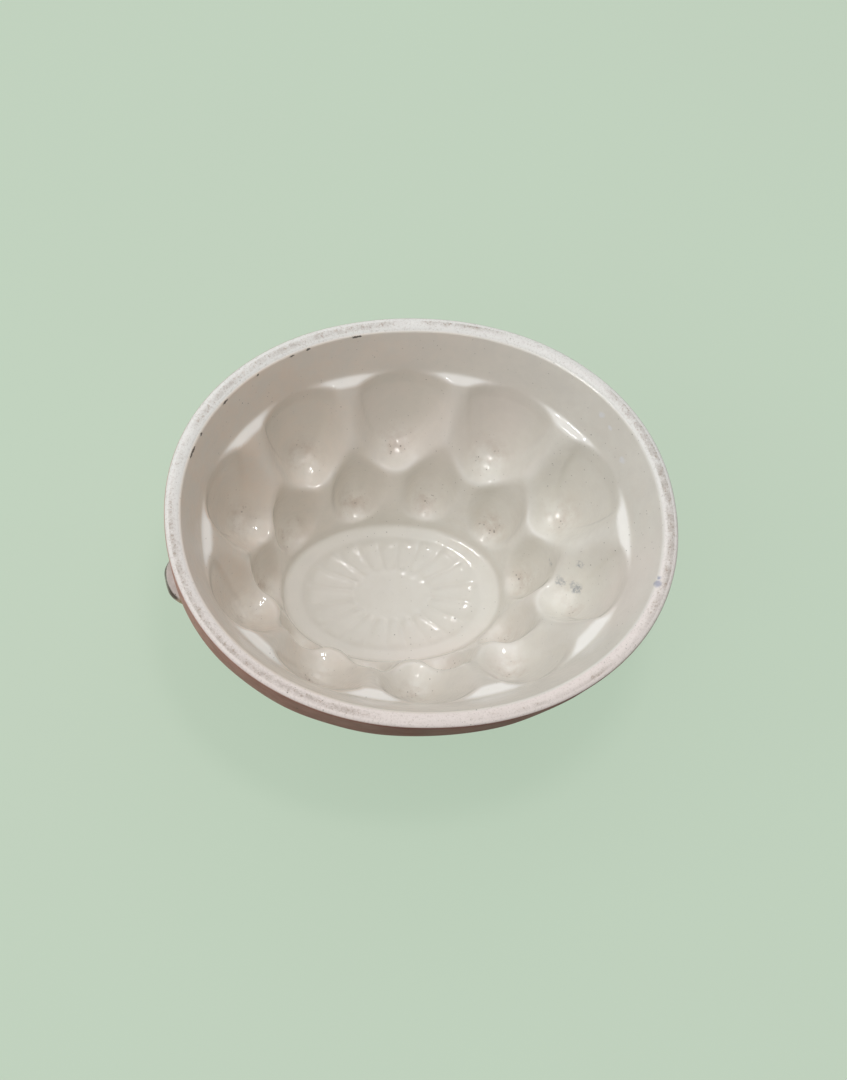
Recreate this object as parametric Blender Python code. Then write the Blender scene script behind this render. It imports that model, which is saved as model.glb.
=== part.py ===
"""Oval blancmange mould in white glazed earthenware.

A pressed body with a plain band, ten tall flutes, ten low pockets and a gadrooned medallion,
an oval foot ring luted under it and one small lug luted on its side.
Metres, +Z up, origin at the middle of the foot's underside, long axis on X, mouth upwards.
"""

import math

import bmesh
import bpy
from mathutils import Matrix, Vector

mm = 0.001

# Overall size
rim_length = 190 * mm
rim_width = 160 * mm
height = 104 * mm
oval_power = 2.1
oval_sides = 80

# Rim and plain band. An inset is measured inwards from the rim's outer edge.
rim_wall = 5.5 * mm
rim_round = 1.2 * mm
ledge_drop = 18 * mm
ledge_inset = 14 * mm
band_foot_slope = math.radians(22)
band_steps = 3
band_height = 24 * mm
band_inset = 3 * mm

# Outside of the body under the band
shoulder_height = 3 * mm
shoulder_inset = 7.5 * mm
base_inset = 41 * mm
base_round = 1.5 * mm
belly = 2 * mm
swell = 1.3 * mm
swell_steps = 5

# Foot ring and the base over it
foot_height = 6 * mm
foot_wall = 6 * mm
foot_taper = 1.5 * mm
seat_gap = 0.3 * mm
base_thickness = 9.7 * mm

# Bowl inside, from the ledge down to the floor. A rise is measured upwards from the floor.
rib_inset = 18.5 * mm
rib_foot_inset = 36 * mm
rib_foot_rise = 43 * mm
waist_inset = 42 * mm
waist_rise = 33 * mm
floor_inset = 51 * mm

# Tall flutes, here called niches, between the ribs. Their sections are ovals.
niche_count = 10
niche_reach = 28 * mm
niche_rise = 33 * mm
niche_lean = math.radians(10)
niche_draft = 0.34
niche_power = 2.7
niche_bow = 1.5 * mm
niche_top = 4 * mm
niche_setback = -0.2 * mm
rib_crest = 7 * mm

# Low pockets under the ribs
pocket_width = 21 * mm
pocket_reach = 18 * mm
pocket_height = 28 * mm
pocket_inset = 44.5 * mm
pocket_rise = 5 * mm
pocket_lean = math.radians(6)
pocket_power = 2.5
pocket_top = 20 * mm

# Gadrooned medallion sunk in the floor. A border is the plain floor left around it.
medallion_end_border = 8.5 * mm
medallion_side_border = 5.5 * mm
medallion_recess = 1 * mm
petal_count = 20
petal_depth = 1 * mm
petal_end_gap = 0.8 * mm
petal_overlap = 0.4 * mm
petal_flare = 0.35
petal_bluntness = 6
core_length = 30 * mm
core_width = 19.6 * mm
core_recess = 0.5 * mm

# Lug on the outside, a little way round from the -X end
lug_angle = math.radians(190)
lug_width = 19 * mm
lug_height = 14 * mm
lug_reach = 4 * mm
lug_drop = 24 * mm

# Levels that follow from the sizes above
half_length = rim_length / 2
half_width = rim_width / 2
underside = foot_height + seat_gap
floor_level = underside + base_thickness
ledge_level = height - ledge_drop
band_foot = height - band_height
medallion_level = floor_level - medallion_recess
medallion_half_length = half_length - floor_inset - medallion_end_border
medallion_half_width = half_width - floor_inset - medallion_side_border
overcut = 5 * mm


def superellipse(a, b, angle):
    """Point of the flattened oval with half lengths a and b."""
    c = math.cos(angle)
    s = math.sin(angle)
    x = a * math.copysign(abs(c) ** (2 / oval_power), c)
    y = b * math.copysign(abs(s) ** (2 / oval_power), s)
    return Vector((x, y, 0))


def equal_arcs(a, b, count, offset=0.0):
    """Angles that part the oval into equal arcs, from offset arcs past the +X end."""
    samples = 1440
    angles = [2 * math.pi * i / samples for i in range(samples + 1)]
    points = [superellipse(a, b, angle) for angle in angles]
    lengths = [0.0]
    for before, after in zip(points, points[1:]):
        lengths.append(lengths[-1] + (after - before).length)
    result = []
    step = 0
    for i in range(count):
        wanted = (i + offset) * lengths[-1] / count
        while lengths[step + 1] < wanted:
            step += 1
        part = (wanted - lengths[step]) / (lengths[step + 1] - lengths[step])
        result.append(angles[step] + part * (angles[step + 1] - angles[step]))
    return result


def oval_row(inset, level):
    """One closed row of points, inset from the rim's outer edge."""
    row = []
    for i in range(oval_sides):
        angle = 2 * math.pi * (i + 0.5) / oval_sides
        point = superellipse(half_length - inset, half_width - inset, angle)
        row.append(point + Vector((0, 0, level)))
    return row


def collection(name, parent=None):
    group = bpy.data.collections.new(name)
    (parent or bpy.context.scene.collection).children.link(group)
    return group


def add_object(name, shape, group):
    """Put a bmesh into a named, smooth-shaded object and free it."""
    bmesh.ops.recalc_face_normals(shape, faces=shape.faces)
    mesh = bpy.data.meshes.new(name)
    shape.to_mesh(mesh)
    shape.free()
    mesh.shade_smooth()
    mesh.set_sharp_from_angle(angle=math.radians(35))
    piece = bpy.data.objects.new(name, mesh)
    group.objects.link(piece)
    return piece


def loft(name, rows, group):
    """Closed solid through rows of as many points each. A last row of one point is a tip."""
    shape = bmesh.new()
    rings = [[shape.verts.new(point) for point in row] for row in rows]
    count = len(rows[0])
    for lower, upper in zip(rings, rings[1:]):
        for i in range(count):
            j = (i + 1) % count
            if len(upper) == 1:
                shape.faces.new((lower[i], lower[j], upper[0]))
            else:
                shape.faces.new((lower[i], lower[j], upper[j], upper[i]))
    for ring in (rings[0], rings[-1]):
        if len(ring) > 1:
            shape.faces.new(ring)
    return add_object(name, shape, group)


def cut(piece, cutters):
    """Take a collection of cutters away from a piece and keep the cutters out of sight."""
    for cutter in cutters.objects:
        cutter.hide_render = True
        cutter.display_type = "WIRE"
    boolean = piece.modifiers.new(cutters.name, "BOOLEAN")
    boolean.operation = "DIFFERENCE"
    boolean.solver = "EXACT"
    boolean.operand_type = "COLLECTION"
    boolean.collection = cutters


def glaze(piece, colour, roughness):
    """Principled material of its own for one piece."""
    material = bpy.data.materials.new(piece.name + " glaze")
    material.use_nodes = True
    shader = material.node_tree.nodes["Principled BSDF"]
    shader.inputs["Base Color"].default_value = (*colour, 1)
    shader.inputs["Roughness"].default_value = roughness
    shader.inputs["Metallic"].default_value = 0
    shader.inputs["Coat Weight"].default_value = 0.4
    piece.data.materials.append(material)


def body_outline(name, growth, group):
    """Outside of the body: rounded base, softly swelling lower part, shoulder, band and rim."""
    base_top = underside + base_round
    shoulder_level = band_foot - shoulder_height
    rows = [oval_row(base_inset + base_round - growth, underside - growth)]
    for step in range(swell_steps + 1):
        u = step / swell_steps
        level = base_top + (shoulder_level - base_top) * u
        bulge = belly * math.sin(math.pi * u)
        inset = base_inset + (shoulder_inset - base_inset) * u - bulge
        row = oval_row(inset - growth, level)
        for i, point in enumerate(row):
            wave = 0.5 - 0.5 * math.cos(2 * math.pi * niche_count * (i + 0.5) / oval_sides)
            outward = Vector((point.x, point.y, 0)).normalized()
            row[i] = point + outward * swell * wave * math.sin(math.pi * u)
        rows.append(row)
    rows.append(oval_row(band_inset - growth, band_foot))
    rows.append(oval_row(-growth, height - rim_round))
    corner = rim_round * (1 - math.sqrt(0.5))
    rows.append(oval_row(corner - growth, height - corner))
    rows.append(oval_row(rim_round - growth, height + growth))
    return loft(name, rows, group)


def band_space(group):
    """Space inside the plain band, flared towards the rim, with the rim's inner edge eased."""
    foot_slope = math.tan(band_foot_slope)
    rim_slope = 2 * (ledge_inset - rim_wall) / ledge_drop - foot_slope
    rows = []
    for step in range(band_steps, -1, -1):
        drop = rim_round + (ledge_drop - rim_round) * step / band_steps
        slope = rim_slope + (foot_slope - rim_slope) * drop / ledge_drop / 2
        rows.append(oval_row(rim_wall + slope * drop, height - drop))
    lip_inset = rim_wall - rim_round / 2
    rows.append(oval_row(lip_inset, height))
    rows.append(oval_row(lip_inset, height + overcut))
    return loft("band space", rows, group)


def bowl_space(group):
    """Space between the ribs' crests, from the ledge to the floor."""
    rows = [
        oval_row(floor_inset, floor_level),
        oval_row(waist_inset, floor_level + waist_rise),
        oval_row(rib_foot_inset, floor_level + rib_foot_rise),
        oval_row(rib_inset, ledge_level),
        oval_row(rib_inset, ledge_level + overcut),
    ]
    return loft("bowl space", rows, group)


def inward_frame(angle, inset):
    """Matrix at a point of the inset oval: X along the oval, Y inwards, Z up."""
    a = half_length - inset
    b = half_width - inset
    place = superellipse(a, b, angle)
    small = math.radians(0.5)
    along = superellipse(a, b, angle + small) - superellipse(a, b, angle - small)
    along.normalize()
    inward = Vector((-along.y, along.x, 0))
    turn = Matrix((along, inward, Vector((0, 0, 1)))).transposed().to_4x4()
    return Matrix.Translation(place) @ turn


def flute(name, matrix, half_sizes, group, sides, rings, power, lean, draft, above, bow=0.0):
    """Round-bottomed hollow of oval sections, from above its own top level downwards.

    The sections lean towards +Y and draw in to a tip; the higher the power, the straighter
    the sides. The draft also narrows them steadily along X, and the bow pushes the middle
    ones further along +Y.
    """
    half_u, half_v, drop = half_sizes
    slope = math.tan(lean)
    profile = [(-above, 0, 1)]
    for ring in range(rings):
        turn = math.pi / 2 * ring / rings
        part = math.sin(turn) ** (2 / power)
        profile.append((drop * part, part, math.cos(turn) ** (2 / power)))
    rows = []
    for level, part, size in profile:
        row = []
        for i in range(sides):
            angle = 2 * math.pi * (i + 0.5) / sides
            u = half_u * (1 - draft * part) * size * math.cos(angle)
            v = half_v * size * math.sin(angle) + slope * level + 4 * bow * part * (1 - part)
            row.append(matrix @ Vector((u, v, -level)))
        rows.append(row)
    rows.append([matrix @ Vector((0, slope * drop, -drop))])
    return loft(name, rows, group)


def egg(name, matrix, half_sizes, group, sides, rings, flare=0.0, bluntness=2.0):
    """UV sphere stretched to three half sizes, blunt at its X ends and flared towards +X."""
    shape = bmesh.new()
    half_step = Matrix.Rotation(math.pi / sides, 4, "Z")
    bmesh.ops.create_uvsphere(
        shape, u_segments=sides, v_segments=rings, radius=1, matrix=half_step
    )
    for vertex in shape.verts:
        x = vertex.co.x
        vertex.co.x = math.copysign(abs(x) ** (2 / bluntness), x)
        vertex.co.y *= 1 + flare * vertex.co.x
    stretch = Matrix.Diagonal((*half_sizes, 1))
    bmesh.ops.transform(shape, matrix=matrix @ stretch, verts=shape.verts)
    return add_object(name, shape, group)


def niche_half_width(angle, rib_angle, inset):
    """Half width that brings a niche's edge to the crest of its rib at the ledge."""
    rib = superellipse(half_length - rib_inset, half_width - rib_inset, rib_angle)
    local = inward_frame(angle, inset).inverted() @ rib
    depth = abs(local.y) / (niche_reach / 2)
    return (abs(local.x) - rib_crest / 2) / math.sqrt(1 - depth ** 2)


def niches(group):
    """Tall niches, one between each two ribs, leaning in as they go down."""
    inset = ledge_inset + niche_setback + niche_reach / 2
    drop = ledge_level - (floor_level + niche_rise)
    ledge_oval = (half_length - ledge_inset, half_width - ledge_inset)
    angles = equal_arcs(*ledge_oval, niche_count, 0.5)
    rib_angles = equal_arcs(*ledge_oval, niche_count)
    lift = Matrix.Translation((0, 0, ledge_level))
    shape = (niche_power, niche_lean, niche_draft, niche_top, niche_bow)
    for number, (angle, rib_angle) in enumerate(zip(angles, rib_angles), 1):
        half_width_here = niche_half_width(angle, rib_angle, inset)
        half_sizes = (half_width_here, niche_reach / 2, drop)
        matrix = lift @ inward_frame(angle, inset)
        flute("niche %02d" % number, matrix, half_sizes, group, 20, 7, *shape)


def pockets(group):
    """Low pockets, one under each rib."""
    half_sizes = (pocket_width / 2, pocket_reach / 2, pocket_height)
    lift = Matrix.Translation((0, 0, floor_level + pocket_rise + pocket_height))
    angles = equal_arcs(half_length - ledge_inset, half_width - ledge_inset, niche_count)
    shape = (pocket_power, pocket_lean, 0, pocket_top)
    for number, angle in enumerate(angles, 1):
        matrix = lift @ inward_frame(angle, pocket_inset)
        flute("pocket %02d" % number, matrix, half_sizes, group, 16, 6, *shape)


def medallion(group):
    """Sunk oval with a plain core, and gadroon petals between the two."""
    outer = (medallion_half_length, medallion_half_width)
    inner = (core_length / 2, core_width / 2)
    steps = [2 * math.pi * i / oval_sides for i in range(oval_sides)]
    top = floor_level + overcut
    for name, (a, b), foot in (
        ("medallion space", outer, medallion_level),
        ("core space", inner, medallion_level - core_recess),
    ):
        outline = [superellipse(a, b, angle) for angle in steps]
        rows = [[point + Vector((0, 0, level)) for point in outline] for level in (foot, top)]
        loft(name, rows, group)
    angles = equal_arcs(*outer, petal_count)
    ends = [(superellipse(*inner, angle), superellipse(*outer, angle)) for angle in angles]
    for number, (near, far) in enumerate(ends, 1):
        middle = (near + far) / 2
        neighbour = sum(ends[number % petal_count], Vector()) / 2
        half_sizes = (
            (far - near).length / 2 - petal_end_gap,
            ((neighbour - middle).length + petal_overlap) / 2,
            petal_depth,
        )
        turn = (far - near).to_track_quat("X", "Z").to_matrix().to_4x4()
        lift = Matrix.Translation(middle + Vector((0, 0, medallion_level)))
        shape = (petal_flare, petal_bluntness)
        egg("petal %02d" % number, lift @ turn, half_sizes, group, 12, 6, *shape)


def mould_body(parts, cutters):
    body = body_outline("mould_body", 0, parts)
    inside = collection("Inside of the mould", cutters)
    band_space(inside)
    bowl_space(inside)
    niches(inside)
    pockets(inside)
    medallion(inside)
    cut(body, inside)
    glaze(body, (0.80, 0.77, 0.73), 0.18)


def foot_ring(parts, cutters):
    outer = base_inset + base_round
    ring = loft(
        "foot_ring",
        [oval_row(outer + foot_taper, 0), oval_row(outer, foot_height)],
        parts,
    )
    inside = collection("Inside of the foot", cutters)
    loft(
        "foot hollow",
        [oval_row(outer + foot_wall, -overcut), oval_row(outer + foot_wall, foot_height + overcut)],
        inside,
    )
    cut(ring, inside)
    glaze(ring, (0.74, 0.69, 0.62), 0.5)


def side_lug(parts, cutters):
    """Rounded lug seated on the band's lower edge."""
    lift = Matrix.Translation((0, 0, height - lug_drop))
    half_sizes = (lug_width / 2, lug_reach, lug_height / 2)
    lug = egg("side_lug", lift @ inward_frame(lug_angle, band_inset), half_sizes, parts, 20, 12)
    seat = collection("Seat of the lug", cutters)
    body_outline("lug seat", seat_gap, seat)
    cut(lug, seat)
    glaze(lug, (0.78, 0.70, 0.66), 0.22)


def build():
    for item in list(bpy.data.objects):
        bpy.data.objects.remove(item, do_unlink=True)
    parts = collection("Blancmange mould")
    cutters = collection("Cutters")
    mould_body(parts, cutters)
    foot_ring(parts, cutters)
    side_lug(parts, cutters)


build()
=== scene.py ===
"""Looks of an oval blancmange mould in glazed earthenware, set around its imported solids."""

import math

import bpy
import numpy as np
from mathutils import Matrix, Vector


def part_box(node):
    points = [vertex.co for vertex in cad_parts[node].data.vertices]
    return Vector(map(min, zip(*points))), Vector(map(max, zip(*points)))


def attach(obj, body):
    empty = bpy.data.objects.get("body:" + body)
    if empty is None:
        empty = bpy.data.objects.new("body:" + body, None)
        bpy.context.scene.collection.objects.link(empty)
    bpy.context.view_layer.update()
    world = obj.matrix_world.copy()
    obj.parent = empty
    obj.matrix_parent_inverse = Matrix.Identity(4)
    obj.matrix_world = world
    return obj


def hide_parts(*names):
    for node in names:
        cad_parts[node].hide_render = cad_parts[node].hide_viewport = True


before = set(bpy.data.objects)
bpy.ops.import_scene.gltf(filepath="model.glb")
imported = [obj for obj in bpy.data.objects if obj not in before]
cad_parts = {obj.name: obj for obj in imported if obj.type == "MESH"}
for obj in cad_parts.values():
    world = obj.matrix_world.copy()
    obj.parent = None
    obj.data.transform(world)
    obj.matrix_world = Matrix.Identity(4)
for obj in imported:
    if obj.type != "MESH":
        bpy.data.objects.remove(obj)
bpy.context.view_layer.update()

mm = 0.001

# Sizes in metres. Overall ones come from the frame, the rest repeat the mould's own design.
body_low, body_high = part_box("mould_body")
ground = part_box("foot_ring")[0].z
half_length = body_high.x
half_width = body_high.y
height = body_high.z
oval_power = 2.1

rim_wall = 5.5 * mm
rim_round = 1.5 * mm
rim_crown = 0.3 * mm
ledge_drop = 18 * mm
ledge_inset = 14 * mm
band_height = 24 * mm
band_inset = 3 * mm
band_foot_slope = math.tan(math.radians(22))
shoulder_height = 3 * mm
shoulder_inset = 7.5 * mm
base_inset = 41 * mm
base_round = 1.5 * mm
belly = 2 * mm
swell = 1.3 * mm
foot_wall = 6 * mm
foot_taper = 1.5 * mm
base_thickness = 9.7 * mm

rib_inset = 18.5 * mm
ledge_fall = 0.3 * mm
rib_crest = 7 * mm
rib_foot_inset = 36 * mm
rib_foot_rise = 43 * mm
waist_inset = 42 * mm
waist_rise = 33 * mm
floor_inset = 51 * mm
niche_count = 10
niche_reach = 28 * mm
niche_rise = 33 * mm
niche_lean = math.tan(math.radians(10))
niche_power = 2.7
niche_draft = 0.34
niche_setback = -0.2 * mm
niche_bow = 1.5 * mm
niche_top = 4 * mm
pocket_width = 21 * mm
pocket_reach = 18 * mm
pocket_height = 28 * mm
pocket_inset = 44.5 * mm
pocket_rise = 5 * mm
pocket_lean = math.tan(math.radians(6))
pocket_power = 2.5
pocket_top = 20 * mm

# The flutes are stepped: a second, shallow hollow lies inside each
step_depth = 0.9 * mm
step_gap = 3.6 * mm
step_rise = 1.4 * mm
step_fade = 7 * mm
step_softness = 0.14
step_reach = 20 * mm

medallion_gap = (8.5 * mm, 5.5 * mm)
medallion_half = (
    half_length - floor_inset - medallion_gap[0],
    half_width - floor_inset - medallion_gap[1],
)
medallion_recess = 1.0 * mm
relief_edge = 0.8 * mm
petal_count = 20
petal_depth = 1.0 * mm
petal_end_gap = 0.8 * mm
petal_overlap = 0.4 * mm
petal_flare = 0.35
petal_bluntness = 6
core_half = (15 * mm, 9.8 * mm)
core_recess = 0.5 * mm

lug_angle = math.radians(190)
lug_width = 19 * mm
lug_height = 14 * mm
lug_reach = 4 * mm
lug_drop = 24 * mm

underside = body_low.z
floor_level = underside + base_thickness
floor_drop = height - floor_level
ledge_level = height - ledge_drop - ledge_fall / 2
ledge_oval = (half_length - ledge_inset, half_width - ledge_inset)
niche_middle = ledge_inset + niche_setback + niche_reach / 2
niche_fall = floor_drop - niche_rise - ledge_drop

# Marks of use
worn_line_inset = 2.5 * mm
worn_line_wander = 0.5 * mm
worn_line_width = 1.4 * mm
worn_side = math.radians(5)
worn_side_widening = 0.9
stain_reach = 7 * mm
stain_back = 6 * mm
stain_rise = 4 * mm

# Chips along the rim's inner edge, as an oval angle in degrees and a length in millimetres
rim_chips = (
    (159.8, 6),
    (153.5, 2),
    (141.4, 2.6),
    (130, 1.6),
    (119, 2.2),
    (115, 2),
    (101.9, 4.5),
)
chip_width = 0.55 * mm

# Other marks seen in the photograph, as x, y, z and reach in millimetres
smudges = (
    (58.8, 0.3, 46.4, 2.2),
    (66.3, -6.1, 62.8, 1.8),
    (60.4, -8.9, 52.5, 2.6),
    (66.2, -13, 53.5, 3.6),
)
# Pale bluish marks that are painted highlights, small reflections on the band
painted_glint_marks = ((72.1, 41.1, 98, 1.7), (74.9, 36.2, 96.8, 1.2), (79.2, 24.6, 93, 1.9))
blue_dots = ((83.9, -28.8, 103.3, 1.8), (84.9, -26.4, 103.3, 1.1))

# Strewn specks, as cells to a metre, size in a cell, share of cells left empty and strength
speck_kinds = (
    (120, 0.035, 0.9, 0.75),
    (330, 0.07, 0.88, 0.6),
    (620, 0.11, 0.75, 0.45),
)

# Ways in which the glazes change: to maroon outside, which is painted shade, to a warmer white
# inside, which is painted warm light, and to the side of the medallion that keeps its gloss
painted_shade_way = (0.6, -0.8, 0.0)
painted_warm_light_way = (-7, 0.6, 6.5)
glossy_way = (0.7, 0.7, 0.0)

# Softening of the edges under the glaze: rounds of it, and how far a point moves in each round
# to the mean of its neighbours
smooth_rounds = 20
wall_rounds = 10
step_rounds = 2
lug_rounds = 3
wall_softness = 0.5
outside_softness = 0.2
rim_softness = 0.04
ledge_softness = 0.12
medallion_softness = 0.25

# Slow unevenness of the clay
clay_waves = 12
clay_wave_height = 0.16 * mm
clay_wave_length = 30 * mm
clay_wave_seed = 7

# Fineness of the shapes. The rim has 4 rows round its outer edge, 8 on top and 3 round its inner.
angle_steps = 480
inside_steps = 200
rim_rows = 4 + 8 + 3
band_levels = 19
lobe_levels = 25
lobe_halvings = 11

# Colours
white_glaze = (0.84, 0.82, 0.775)
cool_glaze = (0.81, 0.80, 0.745)
# The warm and yellow glazes are painted tints of the light that falls on either side of the inside
warm_lit_glaze = (0.81, 0.69, 0.585)
cream_glaze = (0.80, 0.755, 0.675)
yellow_lit_glaze = (0.82, 0.80, 0.72)
pooled_glaze = (0.76, 0.72, 0.63)
clouded_glaze = (0.72, 0.69, 0.63)
pink_glaze = (0.93, 0.82, 0.77)
# A whiter white, painted light on the rim's top and the up-facing ledges
lit_top_white = (0.95, 0.93, 0.89)
# The outside's lit and shaded copies of one glaze: the maroon is painted shade, the pink partly a
# painted reddish bounce
shaded_side_maroon = (0.16, 0.04, 0.028)
lit_side_buff = (0.80, 0.455, 0.375)
stain_colour = (0.44, 0.31, 0.23)
iron_colour = (0.10, 0.07, 0.05)
worn_colour = (0.42, 0.345, 0.285)
chip_colour = (0.06, 0.045, 0.035)
smudge_colour = (0.22, 0.25, 0.30)
painted_glint_colour = (0.86, 0.87, 0.90)
blue_colour = (0.16, 0.20, 0.36)
bare_clay = (0.60, 0.46, 0.34)
dirty_clay = (0.30, 0.22, 0.16)
lug_face = (0.78, 0.68, 0.63)
# The lug's dark edge and ochre ends are painted shade and painted reflection
dark_edge_painted_shade = (0.09, 0.05, 0.035)
ochre_painted_reflection = (0.46, 0.29, 0.12)
floor_grey = (0.57, 0.545, 0.51)
sage = (0.565, 0.71, 0.555)


def signed_power(value, power):
    return np.sign(value) * np.abs(value) ** power


def oval(a, b, angle):
    """Plan points of the flattened oval with half lengths a and b."""
    x = a * signed_power(np.cos(angle), 2 / oval_power)
    y = b * signed_power(np.sin(angle), 2 / oval_power)
    return x, y


def full_turn(count):
    return 2 * math.pi * np.arange(count) / count


def equal_arcs(a, b, count, offset=0.0):
    """Angles that part the oval into equal arcs."""
    angles = np.linspace(0, 2 * math.pi, 4 * 360 + 1)
    x, y = oval(a, b, angles)
    lengths = np.concatenate(([0], np.cumsum(np.hypot(np.diff(x), np.diff(y)))))
    wanted = (np.arange(count) + offset) * lengths[-1] / count
    return np.interp(wanted, lengths, angles)


def inward_axes(angle, inset):
    """Place on the inset oval, with unit vectors along it and inwards."""
    a = half_length - inset
    b = half_width - inset
    small = math.radians(0.5)
    place = np.array(oval(a, b, angle))
    along = np.array(oval(a, b, angle + small)) - np.array(oval(a, b, angle - small))
    along /= np.hypot(*along)
    return place, along, np.array((-along[1], along[0]))


def lobe_depth(u, v, half_u, half_v, drop, power, lean, draft, above, bow=0.0):
    """Depth of a leaning, round-bottomed flute below its top level, by plan place.

    Its section is an oval, full size at the top and drawn in to nothing at the bottom.
    The higher the power, the straighter its sides. The draft narrows it steadily, and the
    bow pushes its middle levels inwards.
    """
    depth = np.zeros_like(u)
    reach_in = half_v + lean * drop + bow
    near = (np.abs(u) < half_u) & (v > -half_v - lean * above) & (v < reach_in)
    u = u[near] / half_u
    v = v[near]

    def inside(level):
        part = np.clip(level / drop, 0, 1)
        size = (1 - part ** power) ** (2 / power)
        middle = lean * level + 4 * bow * part * (1 - part)
        return (u / (1 - draft * part)) ** 2 + ((v - middle) / half_v) ** 2 < size

    low = np.full(u.shape, -np.inf)
    levels = np.linspace(-above, drop, lobe_levels)
    for level in levels:
        low = np.where(inside(level), level, low)
    found = np.isfinite(low)
    low = np.where(found, low, 0)
    high = low + levels[1] - levels[0]
    for _ in range(lobe_halvings):
        middle = (low + high) / 2
        deeper = inside(middle)
        low = np.where(deeper, middle, low)
        high = np.where(deeper, high, middle)
    depth[near] = np.where(found, low + above, 0)
    return depth


def wall_depth(inset):
    """Depth of the flared band, the ledge and the ribs' crests, by how far in a point lies."""
    drop = np.linspace(0, ledge_drop, band_levels)
    flare = 2 * (ledge_inset - rim_wall) / ledge_drop - band_foot_slope
    curve = (band_foot_slope - flare) / (2 * ledge_drop)
    band = rim_wall + flare * drop + curve * drop ** 2
    insets = (*band, rib_inset, rib_foot_inset, waist_inset, floor_inset)
    drops = (
        *drop,
        ledge_drop + ledge_fall,
        floor_drop - rib_foot_rise,
        floor_drop - waist_rise,
        floor_drop,
    )
    return np.interp(inset, insets, drops)


def local_axes(x, y, angle, inset):
    place, along, inward = inward_axes(angle, inset)
    u = (x - place[0]) * along[0] + (y - place[1]) * along[1]
    v = (x - place[0]) * inward[0] + (y - place[1]) * inward[1]
    return u, v


def niche_half_width(angle, rib_angle):
    """Half width that leaves the ribs' crests their own width."""
    place, along, inward = inward_axes(angle, niche_middle)
    rib = np.array(oval(half_length - rib_inset, half_width - rib_inset, rib_angle)) - place
    side = abs(rib @ along) - rib_crest / 2
    return side / math.sqrt(1 - (rib @ inward / (niche_reach / 2)) ** 2)


def niche_depth(x, y):
    shape = (niche_power, niche_lean, niche_draft, niche_top, niche_bow)
    angles = equal_arcs(*ledge_oval, niche_count, 0.5)
    rib_angles = equal_arcs(*ledge_oval, niche_count)
    depth = np.zeros_like(x)
    for angle, rib_angle in zip(angles, rib_angles):
        u, v = local_axes(x, y, angle, niche_middle)
        half_u = niche_half_width(angle, rib_angle)
        dip = lobe_depth(u, v, half_u, niche_reach / 2, niche_fall, *shape)
        depth = np.maximum(depth, np.where(dip > 0, ledge_drop - niche_top + dip, 0))
    return depth


def pocket_depth(x, y):
    top = floor_drop - pocket_rise - pocket_height
    half_size = (pocket_width / 2, pocket_reach / 2)
    shape = (pocket_power, pocket_lean, 0, pocket_top)
    depth = np.zeros_like(x)
    for angle in equal_arcs(*ledge_oval, niche_count):
        u, v = local_axes(x, y, angle, pocket_inset)
        dip = lobe_depth(u, v, *half_size, pocket_height, *shape)
        depth = np.maximum(depth, np.where(dip > 0, top - pocket_top + dip, 0))
    return depth


def stain_places():
    """Points just over the bottoms of the niches and pockets, where the glaze has stained."""
    tips = []
    for inset, offset, lead, rise in (
        (niche_middle, 0.5, niche_lean * niche_fall, niche_rise),
        (pocket_inset, 0.0, pocket_lean * pocket_height, pocket_rise),
    ):
        for angle in equal_arcs(*ledge_oval, niche_count, offset):
            place, _, inward = inward_axes(angle, inset)
            tips.append((*(place + inward * (lead - stain_back)), floor_level + rise + stain_rise))
    return np.array(tips)


def inner_step(grid):
    """1 in the inner hollow of a flute, falling to 0 round it."""
    level = height - grid[..., 2] - ledge_drop
    drop = niche_fall - step_rise
    part = np.clip(level / drop, 0, 1)
    size = (1 - part ** niche_power) ** (2 / niche_power)
    fade = np.clip(level / step_fade, 0, 1)
    angles = equal_arcs(*ledge_oval, niche_count, 0.5)
    rib_angles = equal_arcs(*ledge_oval, niche_count)
    share = np.zeros_like(level)
    for angle, rib_angle in zip(angles, rib_angles):
        u, v = local_axes(grid[..., 0], grid[..., 1], angle, niche_middle)
        half_u = niche_half_width(angle, rib_angle) - step_gap
        within = size - (u / (half_u * (1 - niche_draft * part))) ** 2
        within = np.clip(within / step_softness, 0, 1)
        near = (np.abs(v) < step_reach) & (level < drop)
        share = np.maximum(share, np.where(near, within ** 2 * (3 - 2 * within), 0))
    return share * fade


def inside_oval(x, y, half, edge):
    """1 inside an oval, 0 outside it, with a soft edge."""
    reach = np.abs(x / half[0]) ** oval_power + np.abs(y / half[1]) ** oval_power
    distance = (1 - reach ** (1 / oval_power)) * min(half)
    return np.clip(distance / edge + 0.5, 0, 1)


def medallion_depth(x, y):
    pan = floor_drop + medallion_recess * inside_oval(x, y, medallion_half, relief_edge)
    core = (medallion_recess + core_recess) * inside_oval(x, y, core_half, relief_edge)
    depth = np.maximum(pan, floor_drop + core)
    angles = equal_arcs(*medallion_half, petal_count)
    far = np.array(oval(*medallion_half, angles)).T
    near = np.array(oval(*core_half, angles)).T
    middles = (near + far) / 2
    for number in range(petal_count):
        way = far[number] - near[number]
        length = math.hypot(*way)
        way = way / length
        spacing = math.hypot(*(middles[(number + 1) % petal_count] - middles[number]))
        dx = x - middles[number, 0]
        dy = y - middles[number, 1]
        half_u = length / 2 - petal_end_gap
        u = dx * way[0] + dy * way[1]
        v = dy * way[0] - dx * way[1]
        half_v = (spacing + petal_overlap) / 2 * (1 + petal_flare * np.clip(u / half_u, -1, 1))
        part = np.clip(1 - (u / half_u) ** petal_bluntness - (v / half_v) ** 2, 0, 1)
        dip = petal_depth * np.sqrt(part)
        depth = np.maximum(depth, np.where(dip > 0, floor_drop + medallion_recess + dip, 0))
    return depth


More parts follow.
